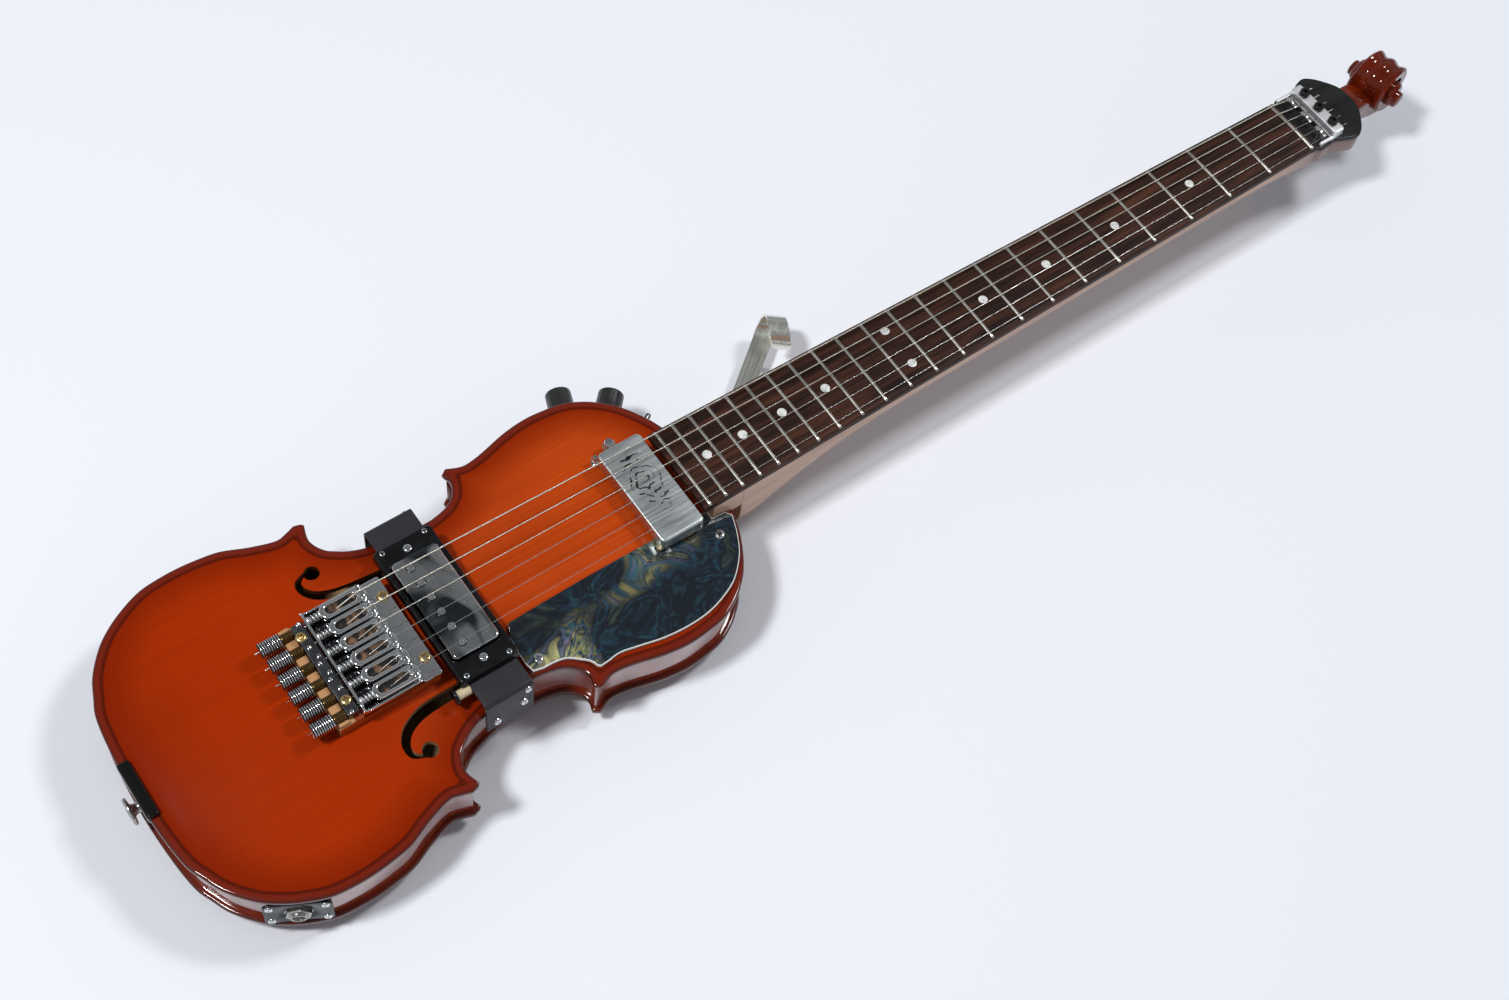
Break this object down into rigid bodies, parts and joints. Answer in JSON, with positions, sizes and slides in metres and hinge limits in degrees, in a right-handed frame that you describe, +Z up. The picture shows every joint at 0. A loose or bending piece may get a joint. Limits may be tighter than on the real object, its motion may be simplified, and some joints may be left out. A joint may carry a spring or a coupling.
{
  "type": "headless electric travel guitar with a violin body",
  "caption": "Headless electric guitar on a full-size violin body with scroll, two pickups, tailpiece tuners, string clamp, controls on the rib and a swivelling leg rest.",
  "frame": {"origin": "centre of the bounding box's base, on the surface that the instrument lies on", "axes": "+X along the neck from the tail to the scroll, +Y to the bass side, +Z up out of the belly"},
  "size_m": [0.9234, 0.2062, 0.0725],
  "materials": {
    "top_varnish": "glossy orange-red violin varnish over spruce",
    "back_varnish": "glossy red-brown varnish over maple",
    "rib_varnish": "glossy red-brown varnish",
    "inside_wood": "bare spruce",
    "neck_maple": "satin maple",
    "rosewood": "oiled rosewood with streaks and pale dots",
    "head_veneer": "glossy black-brown",
    "scroll_varnish": "glossy dark red varnish",
    "riser_wood": "varnished sides with bare tan end grain",
    "ebony": "polished ebony",
    "fret_metal": "polished nickel silver",
    "plain_string": "bright plain steel",
    "wound_string": "wound steel",
    "chrome": "polished chrome",
    "dark_chrome": "dark chrome",
    "black_steel": "black oxide",
    "black_paint": "satin black sheet metal",
    "steel": "brushed stainless steel",
    "shell_plastic": "dark blue-green pearl laminate with pale bevel",
    "pickup_inside": "taped coil and base",
    "black_plastic": "satin black",
    "switch_plastic": "dark switch housing"
  },
  "bodies": {
    "guitar": {"back_plate": "back_varnish", "top_plate": "top_varnish", "rib_upper_bass": "rib_varnish", "rib_upper_treble": "rib_varnish", "rib_waist_bass": "rib_varnish", "rib_waist_treble": "rib_varnish", "rib_lower": "rib_varnish", "neck_block": "inside_wood", "end_block": "inside_wood", "neck": "neck_maple", "fingerboard": "rosewood", "nut_bar": "fret_metal", "headstock_plate": "head_veneer", "scroll": "scroll_varnish", "string_1": "plain_string", "string_2": "plain_string", "string_3": "plain_string", "string_4": "wound_string", "string_5": "wound_string", "string_6": "wound_string", "string_clamp_base": "chrome", "string_tree_1": "chrome", "string_tree_2": "chrome", "string_tree_3": "chrome", "bridge_riser": "riser_wood", "bridge_plate": "chrome", "tuner_bar": "chrome", "pickguard": "shell_plastic", "neck_pickup_cover": "chrome", "neck_pickup_base": "pickup_inside", "bridge_pickup_cover": "chrome", "pickup_ring": "black_plastic", "pickup_bracket": "black_paint", "tail_saddle": "ebony", "strap_button": "chrome", "jack_plate": "dark_chrome", "jack_socket": "chrome", "volume_pot": "steel", "tone_pot": "steel", "toggle_body": "switch_plastic", "leg_rest_screw": "chrome"},
    "saddle_body_1": {"saddle_1": "chrome"},
    "saddle_body_2": {"saddle_2": "chrome"},
    "saddle_body_3": {"saddle_3": "chrome"},
    "saddle_body_4": {"saddle_4": "chrome"},
    "saddle_body_5": {"saddle_5": "chrome"},
    "saddle_body_6": {"saddle_6": "chrome"},
    "tuner_1": {"tuner_barrel_1": "chrome"},
    "tuner_2": {"tuner_barrel_2": "chrome"},
    "tuner_3": {"tuner_barrel_3": "chrome"},
    "tuner_4": {"tuner_barrel_4": "chrome"},
    "tuner_5": {"tuner_barrel_5": "chrome"},
    "tuner_6": {"tuner_barrel_6": "chrome"},
    "clamp_bolt_1": {"clamp_screw_1": "black_steel"},
    "clamp_bolt_2": {"clamp_screw_2": "black_steel"},
    "clamp_bolt_3": {"clamp_screw_3": "black_steel"},
    "volume_control": {"volume_knob": "black_plastic"},
    "tone_control": {"tone_knob": "black_plastic"},
    "pickup_switch": {"toggle_lever": "chrome"},
    "leg_rest_arm": {"leg_rest": "steel"}
  },
  "joints": [
    {"name": "saddle_1_slide", "type": "slide", "parent": "guitar", "child": "saddle_body_1", "axis": [1, 0, 0], "range_m": [-0.0025, 0.0025]},
    {"name": "saddle_2_slide", "type": "slide", "parent": "guitar", "child": "saddle_body_2", "axis": [1, 0, 0], "range_m": [-0.0025, 0.0025]},
    {"name": "saddle_3_slide", "type": "slide", "parent": "guitar", "child": "saddle_body_3", "axis": [1, 0, 0], "range_m": [-0.0025, 0.0025]},
    {"name": "saddle_4_slide", "type": "slide", "parent": "guitar", "child": "saddle_body_4", "axis": [1, 0, 0], "range_m": [-0.0025, 0.0025]},
    {"name": "saddle_5_slide", "type": "slide", "parent": "guitar", "child": "saddle_body_5", "axis": [1, 0, 0], "range_m": [-0.0025, 0.0025]},
    {"name": "saddle_6_slide", "type": "slide", "parent": "guitar", "child": "saddle_body_6", "axis": [1, 0, 0], "range_m": [-0.0025, 0.0025]},
    {"name": "tuner_1_turn", "type": "hinge", "parent": "guitar", "child": "tuner_1", "pos_m": [-0.3576, -0.027, 0.06435], "axis": [1, 0, 0], "range_deg": [-1440, 1440]},
    {"name": "tuner_2_turn", "type": "hinge", "parent": "guitar", "child": "tuner_2", "pos_m": [-0.3576, -0.0162, 0.06435], "axis": [1, 0, 0], "range_deg": [-1440, 1440]},
    {"name": "tuner_3_turn", "type": "hinge", "parent": "guitar", "child": "tuner_3", "pos_m": [-0.3576, -0.0054, 0.06435], "axis": [1, 0, 0], "range_deg": [-1440, 1440]},
    {"name": "tuner_4_turn", "type": "hinge", "parent": "guitar", "child": "tuner_4", "pos_m": [-0.3576, 0.0054, 0.06435], "axis": [1, 0, 0], "range_deg": [-1440, 1440]},
    {"name": "tuner_5_turn", "type": "hinge", "parent": "guitar", "child": "tuner_5", "pos_m": [-0.3576, 0.0162, 0.06435], "axis": [1, 0, 0], "range_deg": [-1440, 1440]},
    {"name": "tuner_6_turn", "type": "hinge", "parent": "guitar", "child": "tuner_6", "pos_m": [-0.3576, 0.027, 0.06435], "axis": [1, 0, 0], "range_deg": [-1440, 1440]},
    {"name": "clamp_screw_1_turn", "type": "hinge", "parent": "guitar", "child": "clamp_bolt_1", "pos_m": [0.36848, 0.0132, 0.069], "axis": [0, 0, 1], "range_deg": [0, 720]},
    {"name": "clamp_screw_2_turn", "type": "hinge", "parent": "guitar", "child": "clamp_bolt_2", "pos_m": [0.36848, 0, 0.069], "axis": [0, 0, 1], "range_deg": [0, 720]},
    {"name": "clamp_screw_3_turn", "type": "hinge", "parent": "guitar", "child": "clamp_bolt_3", "pos_m": [0.36848, -0.0132, 0.069], "axis": [0, 0, 1], "range_deg": [0, 720]},
    {"name": "volume_knob_turn", "type": "hinge", "parent": "guitar", "child": "volume_control", "pos_m": [-0.14549, 0.07782, 0.0289], "axis": [0.3407, 0.9402, 0], "range_deg": [-150, 150]},
    {"name": "tone_knob_turn", "type": "hinge", "parent": "guitar", "child": "tone_control", "pos_m": [-0.1265, 0.06544, 0.0289], "axis": [0.6947, 0.7193, 0], "range_deg": [-150, 150]},
    {"name": "pickup_switch_tilt", "type": "hinge", "parent": "guitar", "child": "pickup_switch", "pos_m": [-0.11299, 0.05076, 0.0289], "axis": [0, 0, 1], "range_deg": [-12, 12]},
    {"name": "leg_rest_swivel", "type": "hinge", "parent": "guitar", "child": "leg_rest_arm", "pos_m": [-0.10328, 0, 0.01], "axis": [0, 0, 1], "range_deg": [-125, 50]}
  ]
}
